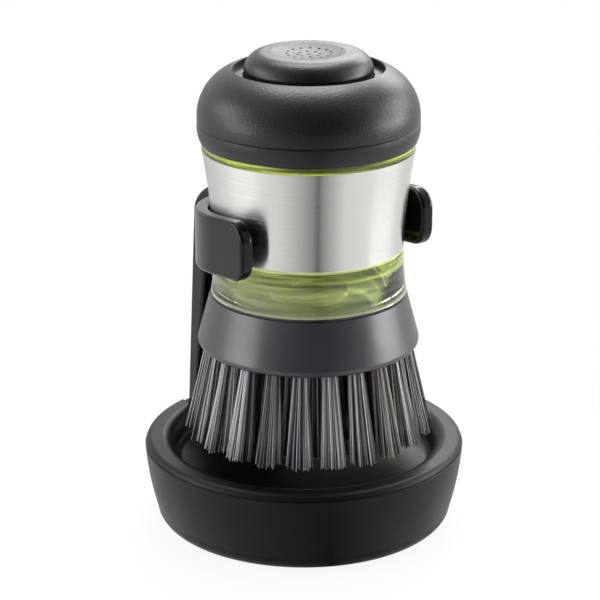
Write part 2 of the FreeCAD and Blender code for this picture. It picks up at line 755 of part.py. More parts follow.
def tuft_ring(label, root_circle, tip_circle, tip_radius, count, first_share):
    """A ring of tufts that stand on the plate and lean outwards, each wider at its tip.

    The first tuft stands at a share of the ring's pitch past the turn of the outer tufts.
    """
    tufts = []
    for number in range(int(count.value)):
        turn = math.radians(size.tuft_turn.value) + 2 * math.pi * (number + first_share) / count.value
        ends = []
        for circle, radius, level in (
            (root_circle, size.tuft_root_radius, bristle_roots),
            (tip_circle, tip_radius, bristle_tips),
        ):
            middle = FreeCAD.Vector(circle.value * math.cos(turn), circle.value * math.sin(turn), level.value)
            ends.append(Part.Wire(Part.makeCircle(radius.value, middle)))
        tufts.append(Part.makeLoft(ends, True, True))
    ring = doc.addObject("Part::Feature", label)
    ring.Shape = Part.makeCompound(tufts)
    ring.Placement = FreeCAD.Placement(FreeCAD.Vector(0, brush_offset.value, 0), FreeCAD.Rotation())
    pieces.append(ring)


# Bristles: three rings of tufts, the middle ones behind the gaps between the outer ones
tuft_ring("tufts_outer", size.outer_root_circle, size.outer_tip_circle, size.outer_tip_radius,
          size.outer_tuft_count, 0.0)
tuft_ring("tufts_middle", size.middle_root_circle, size.middle_tip_circle, size.middle_tip_radius,
          size.middle_tuft_count, 0.5)
tuft_ring("tufts_inner", size.inner_root_circle, size.inner_tip_circle, size.inner_tip_radius,
          size.inner_tuft_count, 0.0)

# Seal: a flat ring between the tank's plug and the floor of the head's cup
turned("head_seal", [
    (size.seal_inner, cup_floor),
    (size.seal_outer, cup_floor),
    (size.seal_outer, tank_bottom),
    (size.seal_inner, tank_bottom),
])

# Soap tank: clear, drawn in at the waist, stepped back behind the steel and open at a threaded neck
sleeve_middle = (sleeve_bottom + sleeve_top) / 2
behind_steel = size.sleeve_thickness + size.sleeve_fit
tank_inset = behind_steel + size.tank_wall
spigot_inner = size.spigot_radius - size.tank_wall
reservoir = turned("reservoir", [
    (size.outlet_radius, tank_bottom),
    (size.spigot_radius, tank_bottom),
    (size.spigot_radius, tank_shoulder),
    (size.tank_lower_radius, tank_shoulder),
    Via(size.tank_lower_middle, (tank_shoulder + sleeve_bottom) / 2),
    (size.waist_radius, sleeve_bottom),
    (size.waist_radius - behind_steel, sleeve_bottom),
    Via(size.sleeve_middle_radius - behind_steel, sleeve_middle),
    (size.sleeve_top_radius - behind_steel, sleeve_top),
    (size.sleeve_top_radius, sleeve_top),
    (size.sleeve_top_radius, flange_top),
    (size.neck_radius, flange_top),
    (size.neck_radius, neck_top),
    (size.neck_bore, neck_top),
    (size.neck_bore, sleeve_top),
    (size.sleeve_top_radius - tank_inset - size.tank_wall, sleeve_top - size.neck_slope),
    Via(size.sleeve_middle_radius - tank_inset, sleeve_middle),
    (size.waist_radius - tank_inset, sleeve_bottom),
    (spigot_inner, tank_shoulder),
    Via(
        spigot_inner - (spigot_inner - size.tank_floor_radius) * corner_inset,
        tank_floor_top + (tank_shoulder - tank_floor_top) * corner_inset,
    ),
    (size.tank_floor_radius, tank_floor_top),
    (size.outlet_radius, tank_floor_top),
])

thread_bottom = flange_top + size.thread_start
thread_crest = size.neck_radius + size.thread_height
thread_sketch = new_sketch(reservoir, "thread_outline", "XZ_Plane")
draw(thread_sketch, [
    (size.neck_radius - size.thread_height, thread_bottom),
    (size.neck_radius - size.thread_height, thread_bottom + size.thread_width),
    (thread_crest, thread_bottom + size.thread_width * 0.75),
    (thread_crest, thread_bottom + size.thread_width * 0.25),
])
thread = reservoir.newObject("PartDesign::AdditiveHelix", "reservoir_thread")
thread.Profile = thread_sketch
thread.ReferenceAxis = (thread_sketch, ["V_Axis"])
thread.Mode = "pitch-turns-angle"
thread.setExpression("Pitch", size.thread_lead.formula)
thread.setExpression("Turns", size.thread_turns.formula)
reservoir.Tip = thread
polar(reservoir, "threads", thread, size.thread_starts)

# Steel sleeve: rolled to the tank's waist and moulded in, flush with the clear bands
turned("steel_sleeve", [
    (size.waist_radius - size.sleeve_thickness, sleeve_bottom),
    (size.waist_radius, sleeve_bottom),
    Via(size.sleeve_middle_radius, sleeve_middle),
    (size.sleeve_top_radius, sleeve_top),
    (size.sleeve_top_radius - size.sleeve_thickness, sleeve_top),
    Via(size.sleeve_middle_radius - size.sleeve_thickness, sleeve_middle),
])

# Soap valve: a silicone rim on the tank's floor with a slit snout that points into the channel
turned("outlet_valve", [
    (0, tank_floor_top - size.valve_snout),
    (size.valve_snout_radius / 2, tank_floor_top - size.valve_snout),
    (size.valve_snout_radius, tank_bottom),
    (size.valve_snout_radius, tank_floor_top),
    (size.valve_radius, tank_floor_top),
    (size.valve_radius, tank_floor_top + size.valve_rim),
    (0, tank_floor_top + size.valve_rim),
])

# Valve retainer: the ring boss on the tank's floor that clamps the soap valve
retainer_top = tank_floor_top + size.retainer_height
turned("valve_retainer", [
    (size.retainer_bore, tank_floor_top + size.valve_rim),
    (size.valve_radius + size.fit_clearance, tank_floor_top + size.valve_rim),
    (size.valve_radius + size.fit_clearance, tank_floor_top),
    (size.retainer_radius, tank_floor_top),
    (size.retainer_radius, retainer_top - size.seam_bevel),
    (size.retainer_radius - size.seam_bevel, retainer_top),
    (size.retainer_bore, retainer_top),
])

# Collar: the lower ring of the cap, with the bore that screws onto the neck
web_bottom = collar_top - size.collar_wall
turned("cap_collar", [
    (collar_bore, collar_bottom),
    (collar_bore + size.collar_wall, collar_bottom),
    (collar_bore + size.collar_wall, web_bottom),
    (size.collar_lower_radius - size.collar_wall, web_bottom),
    (size.collar_lower_radius - size.collar_wall, collar_bottom),
    (size.collar_lower_radius, collar_bottom),
    Via(
        size.cap_radius - (size.cap_radius - size.collar_lower_radius) * corner_inset,
        collar_bottom + size.collar_height * corner_inset,
    ),
    (size.cap_radius, collar_top - size.seam_bevel),
    (size.cap_radius - size.seam_bevel, collar_top),
    (collar_bore, collar_top),
])

# Dome: the upper cap, with a recess and a ledge round the button and a rib that presses on the pump
dome_spring = collar_top + size.dome_spring
recess_radius = size.opening_radius - size.seam_bevel
turned("cap_dome", [
    (size.cap_radius - size.dome_wall, collar_top),
    (size.cap_radius - size.seam_bevel, collar_top),
    (size.cap_radius, collar_top + size.seam_bevel),
    (size.cap_radius, dome_spring),
    Via(size.dome_shoulder_radius, dome_top - size.dome_shoulder_drop),
    (size.opening_radius, dome_top),
    (recess_radius, dome_top - size.seam_bevel),
    (recess_radius, ledge_top),
    (button_bore, ledge_top),
    (button_bore, ledge_bottom),
    (size.rib_inner, ledge_bottom),
    (size.rib_inner, pump_flange_top),
    (size.rib_outer, pump_flange_top),
    (size.rib_outer, ledge_bottom),
    Via(
        size.dome_shoulder_radius - size.dome_wall * math.sqrt(0.5),
        dome_top - size.dome_shoulder_drop - size.dome_wall * math.sqrt(0.5),
    ),
    (size.cap_radius - size.dome_wall, dome_spring),
])

# Gasket between the neck and the pump's flange
turned("cap_seal", [
    (size.neck_bore + size.fit_clearance, neck_top),
    (size.neck_radius - size.fit_clearance, neck_top),
    (size.neck_radius - size.fit_clearance, pump_flange_bottom),
    (size.neck_bore + size.fit_clearance, pump_flange_bottom),
])

# Pump cylinder: a cup hung in the neck, with air holes in its floor under the umbrella valve
stem_hole = size.air_valve_stem + size.screw_fit
cylinder_outer = size.pump_bore + size.pump_wall
pump_cylinder = turned("pump_cylinder", [
    (stem_hole, pump_floor_bottom),
    (cylinder_outer, pump_floor_bottom),
    (cylinder_outer, pump_flange_bottom),
    (size.rib_outer, pump_flange_bottom),
    (size.rib_outer, pump_flange_top),
    (size.pump_bore, pump_flange_top),
    (size.pump_bore, pump_floor_top),
    (stem_hole, pump_floor_top),
])
air_sketch = new_sketch(pump_cylinder, "air_hole_outline", "XY_Plane")
draw_circle(air_sketch, size.air_hole_circle, ZERO, size.air_hole_radius)
air_hole = cut_through(pump_cylinder, "air_hole", air_sketch)
polar(pump_cylinder, "air_holes", air_hole, size.air_hole_count)

# Air valve: a silicone umbrella under the cylinder's floor, held by its stem
turned("air_valve", [
    (0, pump_floor_bottom - size.air_valve_rim),
    (size.air_valve_radius / 2, pump_floor_bottom - size.air_valve_rim),
    (size.air_valve_radius, pump_floor_bottom - size.air_valve_rim / 2),
    (size.air_valve_radius, pump_floor_bottom),
    (size.air_valve_stem, pump_floor_bottom),
    (size.air_valve_stem, pump_floor_top),
    (size.air_valve_stem * 1.5, pump_floor_top),
    (size.air_valve_stem / 2, pump_floor_top + size.air_valve_stem * 1.5),
    (0, pump_floor_top + size.air_valve_stem * 1.5),
])

# Push button: a hollow dished cap with a flange that stops under the dome's ledge
button = turned("push_button", [
    (size.button_radius + size.button_flange, button_flange_bottom),
    (size.button_radius + size.button_flange, button_flange_top),
    (size.button_radius, button_flange_top),
    (size.button_radius, dome_top),
    Via(
        size.button_radius - (size.button_radius - size.button_top_radius) * corner_inset,
        button_top - size.button_rise * corner_inset,
    ),
    (size.button_top_radius, button_top),
    (size.button_dish_radius, button_top),
    Via(size.button_dish_radius / 2, button_top - size.button_dish_depth * 0.75),
    (0, button_top - size.button_dish_depth),
    (0, button_ceiling),
    (size.button_top_radius - size.button_wall / 2, button_ceiling),
    (size.button_radius - size.button_wall, dome_top),
    (size.button_radius - size.button_wall, button_flange_bottom),
])


def dimple_ring(name, place, count):
    """A ring of small round dimples in the hollow of the button."""
    sketch = new_sketch(button, f"{name}_outline", "XY_Plane")
    offset = (button_top - size.button_dish_depth - size.dimple_depth).formula
    sketch.setExpression("AttachmentOffset.Base.z", offset)
    draw_circle(sketch, *place, size.dimple_radius)
    feature = cut_above(button, name, sketch)
    if count is not None:
        polar(button, f"{name}_ring", feature, count)


inner_dimple = on_circle(size.dimple_inner_circle, size.dimple_inner_turn)
outer_dimple = on_circle(size.dimple_outer_circle, size.dimple_outer_turn)
dimple_ring("dimple_middle", (ZERO, ZERO), None)
dimple_ring("dimple_inner", inner_dimple, size.dimple_inner_count)
dimple_ring("dimple_outer", outer_dimple, size.dimple_outer_count)

# Piston: hangs from the button on its stem, with a groove for its ring
groove_bottom = piston_bottom + (size.piston_height - size.ring_width) / 2
groove_top = groove_bottom + size.ring_width
groove_radius = piston_radius - size.ring_depth
turned("pump_piston", [
    (0, piston_bottom),
    (piston_radius, piston_bottom),
    (piston_radius, groove_bottom),
    (groove_radius, groove_bottom),
    (groove_radius, groove_top),
    (piston_radius, groove_top),
    (piston_radius, piston_top),
    (size.piston_stem, piston_top),
    (size.piston_stem, button_ceiling),
    (0, button_ceiling),
])

# Piston ring: runs against the bore of the pump cylinder
turned("piston_ring", [
    (groove_radius + size.screw_fit, groove_bottom + size.screw_fit),
    (size.pump_bore - size.ring_running, groove_bottom + size.screw_fit),
    (size.pump_bore - size.ring_running, groove_top - size.screw_fit),
    (groove_radius + size.screw_fit, groove_top - size.screw_fit),
])

# Return spring: hidden between the cylinder's floor and the piston, shown by the space that it fills
turned("return_spring", [
    (size.spring_radius - size.spring_wire / 2, pump_floor_top),
    (size.spring_radius + size.spring_wire / 2, pump_floor_top),
    (size.spring_radius + size.spring_wire / 2, piston_bottom),
    (size.spring_radius - size.spring_wire / 2, piston_bottom),
])

# Check everything, then write one file per piece
doc.recompute()
for thing in doc.Objects:
    if "Invalid" in thing.State or "Error" in thing.State:
        raise RuntimeError(f"{thing.Label} failed: {thing.State}")
for piece in pieces:
    if piece.Shape.isNull() or not piece.Shape.isValid() or not piece.Shape.Solids:
        raise RuntimeError(f"{piece.Label} has no valid solid")
os.makedirs("parts", exist_ok=True)
for piece in pieces:
    piece.Shape.exportStep(f"parts/{piece.Label}.step")
    print(f"{piece.Label}: {len(piece.Shape.Solids)} solids, {piece.Shape.Volume / 1000:.2f} cm3")
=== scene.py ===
import math
import random

import bpy
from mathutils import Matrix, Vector


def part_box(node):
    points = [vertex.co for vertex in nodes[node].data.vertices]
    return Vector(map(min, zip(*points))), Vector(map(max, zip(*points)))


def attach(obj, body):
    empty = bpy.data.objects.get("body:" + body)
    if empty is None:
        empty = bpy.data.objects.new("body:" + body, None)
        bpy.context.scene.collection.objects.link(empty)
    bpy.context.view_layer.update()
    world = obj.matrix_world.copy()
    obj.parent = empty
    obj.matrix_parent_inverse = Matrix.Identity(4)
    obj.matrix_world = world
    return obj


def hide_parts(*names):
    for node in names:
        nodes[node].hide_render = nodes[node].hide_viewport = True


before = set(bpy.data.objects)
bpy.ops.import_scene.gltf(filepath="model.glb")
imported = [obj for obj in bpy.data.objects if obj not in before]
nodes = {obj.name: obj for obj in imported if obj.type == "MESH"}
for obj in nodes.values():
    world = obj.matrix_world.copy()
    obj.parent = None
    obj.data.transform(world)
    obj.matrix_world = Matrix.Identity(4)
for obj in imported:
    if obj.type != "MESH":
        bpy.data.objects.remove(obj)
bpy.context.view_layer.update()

# Base shell: the outer bowl of the drip dish, with a rounded lower edge and sides that bulge slightly.
# It is moulded in black ABS in a mould with a spark-eroded wall, and stands on rubber feet.
MILLIMETRE = 0.001


def hex_colour(code):
    """An sRGB hex colour as linear red, green, blue and alpha."""
    channels = [int(code[place:place + 2], 16) / 255 for place in (1, 3, 5)]
    linear = [c / 12.92 if c <= 0.04045 else ((c + 0.055) / 1.055) ** 2.4 for c in channels]
    return (*linear, 1.0)


def add_node(tree, kind, inputs=None, **settings):
    """Add a node with its settings, and with a value or a link for each input that is named."""
    node = tree.nodes.new(kind)
    for name, value in settings.items():
        setattr(node, name, value)
    for name, value in (inputs or {}).items():
        socket = node.inputs[name]
        if isinstance(value, bpy.types.NodeSocket):
            tree.links.new(value, socket)
        else:
            socket.default_value = value
    return node


def new_material(name):
    """An empty material and its node tree."""
    material = bpy.data.materials.new(name)
    material.use_nodes = True
    material.node_tree.nodes.clear()
    return material, material.node_tree


def moulded_plastic(name, colour, rubbed_colour, grain, depth, roughness, specular):
    """A moulded plastic with the grain of its mould, and a faint cloudiness where it has been handled."""
    material, tree = new_material(name)
    place = add_node(tree, "ShaderNodeTexCoord").outputs["Object"]
    mould_grain = add_node(tree, "ShaderNodeTexNoise", {
        "Vector": place, "Scale": 1 / grain, "Detail": 3.0, "Roughness": 0.55,
    })
    handling_width = 14 * MILLIMETRE
    handling = add_node(tree, "ShaderNodeTexNoise", {
        "Vector": place, "Scale": 1 / handling_width, "Detail": 4.0, "Roughness": 0.6,
    })
    shade = add_node(tree, "ShaderNodeMix", {
        "Factor": handling.outputs["Fac"], "A": hex_colour(colour), "B": hex_colour(rubbed_colour),
    }, data_type="RGBA")
    gloss_change = 0.04
    gloss = add_node(tree, "ShaderNodeMapRange", {
        "Value": handling.outputs["Fac"], "From Min": 0.3, "From Max": 0.7,
        "To Min": roughness - gloss_change, "To Max": roughness + gloss_change,
    })
    relief = add_node(tree, "ShaderNodeBump", {
        "Height": mould_grain.outputs["Fac"], "Strength": 1.0, "Distance": depth,
    })
    surface = add_node(tree, "ShaderNodeBsdfPrincipled", {
        "Base Color": shade.outputs["Result"], "Roughness": gloss.outputs["Result"],
        "Specular IOR Level": specular, "IOR": 1.5, "Normal": relief.outputs["Normal"],
    })
    add_node(tree, "ShaderNodeOutputMaterial", {"Surface": surface.outputs["BSDF"]})
    return material


def dress(material, *names):
    """Give CAD nodes their finish."""
    for name in names:
        nodes[name].data.materials.clear()
        nodes[name].data.materials.append(material)


# ABS from a spark-eroded mould: near black, matt in front and greyer towards its edges.
# The real grain is about 0.2 mm wide, too fine to show, so it is drawn at twice that.
eroded_abs = moulded_plastic(
    "abs_black_spark_eroded", "#09090a", "#0d0d0e",
    grain=0.4 * MILLIMETRE, depth=0.016 * MILLIMETRE, roughness=0.42, specular=0.2)
dress(eroded_abs, "base_shell")

# Drip tray: the inlaid dish with the rolled rim, notched at the back for the post.
# It is moulded in the same black ABS as the shell and drops into it on a skirt.
dress(eroded_abs, "drip_tray")

# Rubber feet: four discs pressed into recesses under the shell.
# They are moulded in black rubber, which is dull and a little greyer than the plastic.
foot_rubber = moulded_plastic(
    "rubber_black_moulded", "#151515", "#1c1c1b",
    grain=0.6 * MILLIMETRE, depth=0.02 * MILLIMETRE, roughness=0.8, specular=0.2)
dress(foot_rubber, "foot_pad_1", "foot_pad_2", "foot_pad_3", "foot_pad_4")

# Holder bracket: post, open clip and foot in one moulding, with all its edges rounded.
# It is black ABS from a smoother mould, so that the brush slides in, and its edges shine.
satin_abs = moulded_plastic(
    "abs_black_satin", "#0b0b0c", "#0f0f10",
    grain=0.5 * MILLIMETRE, depth=0.006 * MILLIMETRE, roughness=0.14, specular=0.26)
dress(satin_abs, "holder_bracket")

# Bracket screws: two pan-head screws from below, through the shell into the bracket's foot.
# They are zinc-plated steel, a pale grey metal with a faintly mottled shine.
zinc, tree = new_material("steel_zinc_plated")
place = add_node(tree, "ShaderNodeTexCoord").outputs["Object"]
SPANGLE_WIDTH = 0.8 * MILLIMETRE
spangle = add_node(tree, "ShaderNodeTexNoise", {"Vector": place, "Scale": 1 / SPANGLE_WIDTH, "Detail": 2.0})
zinc_gloss = add_node(tree, "ShaderNodeMapRange", {
    "Value": spangle.outputs["Fac"], "To Min": 0.28, "To Max": 0.46,
})
surface = add_node(tree, "ShaderNodeBsdfPrincipled", {
    "Base Color": hex_colour("#b4b5b3"), "Metallic": 1.0, "Roughness": zinc_gloss.outputs["Result"],
})
add_node(tree, "ShaderNodeOutputMaterial", {"Surface": surface.outputs["BSDF"]})
dress(zinc, "bracket_screw_1", "bracket_screw_2")

# Brush head and tuft plate: the cone that carries the tank above and the bristles below.
# Both are moulded in dark slate polypropylene with a satin face, softer in its shine than the ABS.
slate_polypropylene = moulded_plastic(
    "polypropylene_slate_satin", "#212329", "#292b32",
    grain=0.5 * MILLIMETRE, depth=0.008 * MILLIMETRE, roughness=0.34, specular=0.8)
dress(slate_polypropylene, "brush_head", "tuft_plate")

# Bristles: three rings of tufts stapled into the plate, which fan out as they reach down.
# Each tuft is a bundle of straight nylon filaments, grey, charcoal and beige, cut across at the tips.
FILAMENT_RADIUS = 0.165 * MILLIMETRE
FILAMENT_SIDES = 5
PLATE_GRIP = 0.3 * MILLIMETRE
TUFT_ROOT_RADIUS = 2.4 * MILLIMETRE
TUFT_TURN = math.radians(3.6)
TIP_UNEVENNESS = 1.1 * MILLIMETRE
TIP_STRAY = 0.5 * MILLIMETRE
INWARD_BEND = 0.25 * MILLIMETRE
OUTWARD_BEND = 0.1 * MILLIMETRE
# Places along a filament, from its root to its tip, and how much of its bend shows there
BEND_ALONG = [(0.0, 0.0), (0.35, 1.0), (0.7, 0.8), (1.0, 0.0)]
tip_corner, root_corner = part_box("tufts_outer")
brush_axis = Vector(((tip_corner.x + root_corner.x) / 2, (tip_corner.y + root_corner.y) / 2, 0))
bristle_tips = tip_corner.z
bristle_roots = root_corner.z


def drawn_nylon(name, colour, lit_colour):
    """Nylon drawn to a filament: a smooth thread whose tone differs from one to the next."""
    material, tree = new_material(name)
    tone = add_node(tree, "ShaderNodeAttribute", attribute_name="tone")
    shade = add_node(tree, "ShaderNodeMix", {
        "Factor": tone.outputs["Fac"], "A": hex_colour(colour), "B": hex_colour(lit_colour),
    }, data_type="RGBA")
    surface = add_node(tree, "ShaderNodeBsdfPrincipled", {
        "Base Color": shade.outputs["Result"], "Roughness": 0.38, "Specular IOR Level": 0.45, "IOR": 1.53,
    })
    add_node(tree, "ShaderNodeOutputMaterial", {"Surface": surface.outputs["BSDF"]})
    return material


# Drawn nylon: the filaments catch the light along their length, so a tuft reads as fine bright lines
NYLONS = [
    drawn_nylon("nylon_grey_drawn", "#4c5159", "#e0e1e0"),
    drawn_nylon("nylon_charcoal_drawn", "#141519", "#34363c"),
    drawn_nylon("nylon_beige_drawn", "#6f665b", "#d2c3ab"),
]


def spread(number, count, radius):
    """Place of one filament in a round bundle, on a sunflower's spiral."""
    golden_angle = math.pi * (3 - math.sqrt(5))
    reach = radius * math.sqrt((number + 0.5) / count)
    turn = number * golden_angle
    return Vector((reach * math.cos(turn), reach * math.sin(turn), 0))


def filament(start, end, bend, first):
    """Points and faces of one filament, with its tip closed. Its points are numbered from the first."""
    along = (end - start).normalized()
    side = along.orthogonal().normalized()
    other = along.cross(side)
    points = []
    for share, bent in BEND_ALONG:
        middle = start.lerp(end, share) + bend * bent
        for corner in range(FILAMENT_SIDES):
            angle = 2 * math.pi * corner / FILAMENT_SIDES
            points.append(middle + (side * math.cos(angle) + other * math.sin(angle)) * FILAMENT_RADIUS)
    tip = first + (len(BEND_ALONG) - 1) * FILAMENT_SIDES
    faces = []
    for ring in range(first, tip, FILAMENT_SIDES):
        next_ring = ring + FILAMENT_SIDES
        for corner in range(FILAMENT_SIDES):
            after = (corner + 1) % FILAMENT_SIDES
            faces.append((ring + corner, ring + after, next_ring + after, next_ring + corner))
    faces.append(tuple(range(tip, tip + FILAMENT_SIDES)))
    return points, faces


def bristle_ring(name, node, root_circle, tip_circle, tip_radius, tufts, first_share, filaments, mix, seed):
    """A ring of tufts in place of the CAD node's solids. The mix weighs grey, charcoal and beige."""
    chance = random.Random(seed)
    furthest_stray = tip_radius - 1.2 * FILAMENT_RADIUS
    points = []
    faces = []
    tones = []
    colours = []
    for tuft in range(tufts):
        turn = TUFT_TURN + 2 * math.pi * (tuft + first_share) / tufts
        outward = Vector((math.cos(turn), math.sin(turn), 0))
        for number in range(filaments):
            at_root = spread(number, filaments, TUFT_ROOT_RADIUS - FILAMENT_RADIUS)
            start = brush_axis + outward * root_circle + at_root
            start.z = bristle_roots + PLATE_GRIP
            stray = Vector((chance.uniform(-TIP_STRAY, TIP_STRAY), chance.uniform(-TIP_STRAY, TIP_STRAY), 0))
            at_tip = spread(number, filaments, tip_radius - FILAMENT_RADIUS) + stray
            at_tip *= min(1, furthest_stray / at_tip.length)
            end = brush_axis + outward * tip_circle + at_tip
            end.z = bristle_tips + TIP_UNEVENNESS * chance.random() ** 2
            bend = outward * chance.uniform(-INWARD_BEND, OUTWARD_BEND)
            filament_points, filament_faces = filament(start, end, bend, len(points))
            points += filament_points
            faces += filament_faces
            colours += chance.choices(range(len(NYLONS)), mix) * len(filament_faces)
            # More filaments are dark than light
            tones += [chance.random() ** 1.5] * len(filament_points)
    mesh = bpy.data.meshes.new(name)
    mesh.from_pydata(points, [], faces)
    for nylon in NYLONS:
        mesh.materials.append(nylon)
    mesh.polygons.foreach_set("material_index", colours)
    # The walls have four corners each and are shaded round, and the cut tips stay flat
    mesh.polygons.foreach_set("use_smooth", [len(face) == 4 for face in faces])
    mesh.attributes.new("tone", "FLOAT", "POINT").data.foreach_set("value", tones)
    ring = bpy.data.objects.new(name, mesh)
    bpy.context.scene.collection.objects.link(ring)
    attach(ring, "brush")
    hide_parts(node)


bristle_ring(
    "bristles_outer", "tufts_outer", root_circle=30.7 * MILLIMETRE, tip_circle=35.8 * MILLIMETRE,
    tip_radius=4.5 * MILLIMETRE, tufts=22, first_share=0.0,
    filaments=118, mix=(0.58, 0.32, 0.1), seed=11)
bristle_ring(
    "bristles_middle", "tufts_middle", root_circle=23.0 * MILLIMETRE, tip_circle=26.9 * MILLIMETRE,
    tip_radius=3.5 * MILLIMETRE, tufts=22, first_share=0.5,
    filaments=76, mix=(0.22, 0.72, 0.06), seed=12)
bristle_ring(
    "bristles_inner", "tufts_inner", root_circle=15.6 * MILLIMETRE, tip_circle=18.6 * MILLIMETRE,
    tip_radius=3.6 * MILLIMETRE, tufts=14, first_share=0.0,
    filaments=52, mix=(0.3, 0.62, 0.08), seed=13)

# Seals and valves: flat rings between tank, head and cap, the soap valve and the pump's umbrella valve.
# They are cast in milky silicone, which is soft, dull and slightly clouded.
silicone = moulded_plastic(
    "silicone_milky_cast", "#b9bab4", "#c6c7c1",
    grain=1.2 * MILLIMETRE, depth=0.01 * MILLIMETRE, roughness=0.55, specular=0.4)
dress(silicone, "head_seal", "outlet_valve", "cap_seal", "air_valve", "piston_ring")

# Soap tank: the clear body that shows above the head, and as a thin line between the steel and the cap.
# It is moulded round the steel in copolyester that is tinted green right through, deeper where it is thick.
# Its mould leaves the floor frosted. Its edge beside the steel carries a pale painted highlight, and its foot
# a painted shade.
FLOW_LENGTH = 40 * MILLIMETRE
FLOW_HEIGHT = 2 * MILLIMETRE
FLOW_DEPTH = 0.03 * MILLIMETRE
HAZE_AT_HEAD = 0.01
HAZE_AT_STEEL = 0.18
FLANGE_HAZE = 0.08
FROSTED_HEIGHT = 3.2 * MILLIMETRE
PAINTED_HIGHLIGHT_HEIGHT = 0.9 * MILLIMETRE
PAINTED_HIGHLIGHT_AT_HEAD = 0.25
PAINTED_SHADE_HEIGHT = 0.9 * MILLIMETRE
SEEN_WALL_RADIUS = 29.5 * MILLIMETRE
tank_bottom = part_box("reservoir")[0].z
head_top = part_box("brush_head")[1].z
sleeve_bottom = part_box("steel_sleeve")[0].z
sleeve_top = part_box("steel_sleeve")[1].z

tinted_copolyester, tree = new_material("copolyester_clear_green")
place = add_node(tree, "ShaderNodeTexCoord").outputs["Object"]
height = add_node(tree, "ShaderNodeSeparateXYZ", {"Vector": place}).outputs["Z"]
from_axis = add_node(tree, "ShaderNodeMapping", {
    "Vector": place, "Location": -brush_axis, "Scale": (1, 1, 0),
})
reach = add_node(tree, "ShaderNodeVectorMath", {0: from_axis.outputs["Vector"]}, operation="LENGTH")
outer_wall = add_node(tree, "ShaderNodeMath", {
    0: reach.outputs["Value"], 1: SEEN_WALL_RADIUS,
}, operation="GREATER_THAN")

# The flow of the melt round the wall leaves streaks about 40 mm long and 2 mm high, too faint to feel
stretched = add_node(tree, "ShaderNodeMapping", {
    "Vector": place, "Scale": (1 / FLOW_LENGTH, 1 / FLOW_LENGTH, 1 / FLOW_HEIGHT),
})
flow = add_node(tree, "ShaderNodeTexNoise", {
    "Vector": stretched.outputs["Vector"], "Scale": 1.0, "Detail": 2.0,
})
flow_relief = add_node(tree, "ShaderNodeBump", {
    "Height": flow.outputs["Fac"], "Strength": 1.0, "Distance": FLOW_DEPTH,
})

# A faint haze in the wall follows the flow, fades towards the head and is even in the flange above the steel
haze = add_node(tree, "ShaderNodeMapRange", {
    "Value": height, "From Min": head_top, "From Max": sleeve_bottom,
    "To Min": HAZE_AT_HEAD, "To Max": HAZE_AT_STEEL,
})
streaks = add_node(tree, "ShaderNodeMapRange", {
    "Value": flow.outputs["Fac"], "From Min": 0.4, "From Max": 0.65, "To Min": 0.0, "To Max": 2.6,
})
streaky_haze = add_node(tree, "ShaderNodeMath", {
    0: haze.outputs["Result"], 1: streaks.outputs["Result"],
}, operation="MULTIPLY")
at_flange = add_node(tree, "ShaderNodeMath", {0: height, 1: sleeve_top}, operation="GREATER_THAN")
hazy = add_node(tree, "ShaderNodeMath", {
    0: at_flange.outputs["Value"], 1: FLANGE_HAZE, 2: streaky_haze.outputs["Value"],
}, operation="MULTIPLY_ADD")
wall_clear = add_node(tree, "ShaderNodeMath", {0: 1.0, 1: hazy.outputs["Value"]}, operation="SUBTRACT")

# The streaks are lime beside the steel, and the wall grows paler towards the head
streak_share = add_node(tree, "ShaderNodeMapRange", {
    "Value": flow.outputs["Fac"], "From Min": 0.42, "From Max": 0.58,
})
streak_shade = add_node(tree, "ShaderNodeMix", {
    "Factor": streak_share.outputs["Result"], "A": hex_colour("#9db53c"), "B": hex_colour("#e6f25e"),
}, data_type="RGBA")
towards_steel = add_node(tree, "ShaderNodeMapRange", {
    "Value": height, "From Min": head_top, "From Max": sleeve_bottom,
})
wall_shade = add_node(tree, "ShaderNodeMix", {
    "Factor": towards_steel.outputs["Result"], "A": hex_colour("#e6f0d2"),
    "B": streak_shade.outputs["Result"],
}, data_type="RGBA")

# The frosted floor ends softly on the way up the wall
on_floor = add_node(tree, "ShaderNodeMapRange", {
    "Value": height, "From Min": tank_bottom + FROSTED_HEIGHT, "From Max": tank_bottom + FROSTED_HEIGHT * 1.3,
    "To Min": 1.0, "To Max": 0.0,
})

# Painted highlight: the wall is painted pale and less clear in a band along the steel and, only outside and
# more faintly, along the head, as uneven as the flow
beside_steel = add_node(tree, "ShaderNodeMath", {
    0: height, 1: sleeve_bottom - PAINTED_HIGHLIGHT_HEIGHT / 2, 2: PAINTED_HIGHLIGHT_HEIGHT / 2,
}, operation="COMPARE")
beside_head = add_node(tree, "ShaderNodeMath", {
    0: height, 1: head_top + PAINTED_SHADE_HEIGHT + PAINTED_HIGHLIGHT_HEIGHT / 2, 2: PAINTED_HIGHLIGHT_HEIGHT / 2,
}, operation="COMPARE")
outer_painted_highlight = add_node(tree, "ShaderNodeMath", {
    0: outer_wall.outputs["Value"], 1: PAINTED_HIGHLIGHT_AT_HEAD,
}, operation="MULTIPLY")
lower_painted_highlight = add_node(tree, "ShaderNodeMath", {
    0: beside_head.outputs["Value"], 1: outer_painted_highlight.outputs["Value"],
}, operation="MULTIPLY")
either_painted_highlight = add_node(tree, "ShaderNodeMath", {
    0: beside_steel.outputs["Value"], 1: lower_painted_highlight.outputs["Value"],
}, operation="MAXIMUM")
uneven = add_node(tree, "ShaderNodeMapRange", {
    "Value": flow.outputs["Fac"], "From Min": 0.35, "From Max": 0.65, "To Min": 0.5, "To Max": 1.0,
})
painted_highlight_share = add_node(tree, "ShaderNodeMath", {
    0: either_painted_highlight.outputs["Value"], 1: uneven.outputs["Result"],
}, operation="MULTIPLY")

